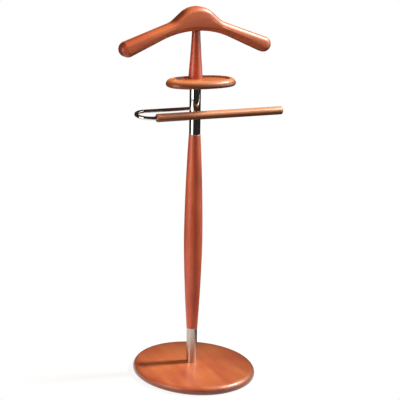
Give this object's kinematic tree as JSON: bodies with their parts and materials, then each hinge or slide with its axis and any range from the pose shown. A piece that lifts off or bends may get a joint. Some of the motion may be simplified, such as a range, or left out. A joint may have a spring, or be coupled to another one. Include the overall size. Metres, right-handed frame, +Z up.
{
  "type": "clothes valet stand",
  "caption": "Free-standing clothes valet stand: heavy oval foot, turned wooden post, dished tray, swivelling chrome and wood trouser rail, and a broad wooden jacket hanger on top.",
  "frame": {"origin": "where the post's centre line meets the floor, on the underside of the pad", "axes": "+Z up along the post, -Y towards the front (tray side), X along the hanger"},
  "size_m": [0.4798, 0.42, 1.1],
  "materials": {
    "lacquered_wood": "orange-red cherry stain under gloss lacquer",
    "dowel_wood": "bare beech",
    "chrome": "polished",
    "steel": "plain",
    "screw_steel": "zinc plated",
    "brass": "plain",
    "white_plastic": "satin",
    "rubber": "matt"
  },
  "bodies": {
    "stand": {"base_disc": "lacquered_wood", "base_pad": "rubber", "ballast_plate": "steel", "ballast_screws": "screw_steel", "tie_nut": "steel", "tie_washer": "steel", "lower_tie_rod": "steel", "tube_plug": "steel", "lower_tube": "chrome", "column_spigot": "steel", "column_foot_insert": "brass", "column": "lacquered_wood", "column_head_insert": "brass", "core_tube": "steel", "upper_tie_rod": "steel", "tray": "lacquered_wood", "neck_insert": "brass", "neck": "lacquered_wood", "hanger_dowel": "dowel_wood", "hanger": "lacquered_wood"},
    "rail": {"lower_bush": "white_plastic", "upper_bush": "white_plastic", "rail_sleeve": "chrome", "trouser_arm": "chrome", "trouser_bar": "lacquered_wood"}
  },
  "joints": [
    {"name": "rail_swivel", "type": "hinge", "parent": "stand", "child": "rail", "pos_m": [0, 0, 0.8], "axis": [0, 0, 1], "continuous": true}
  ]
}
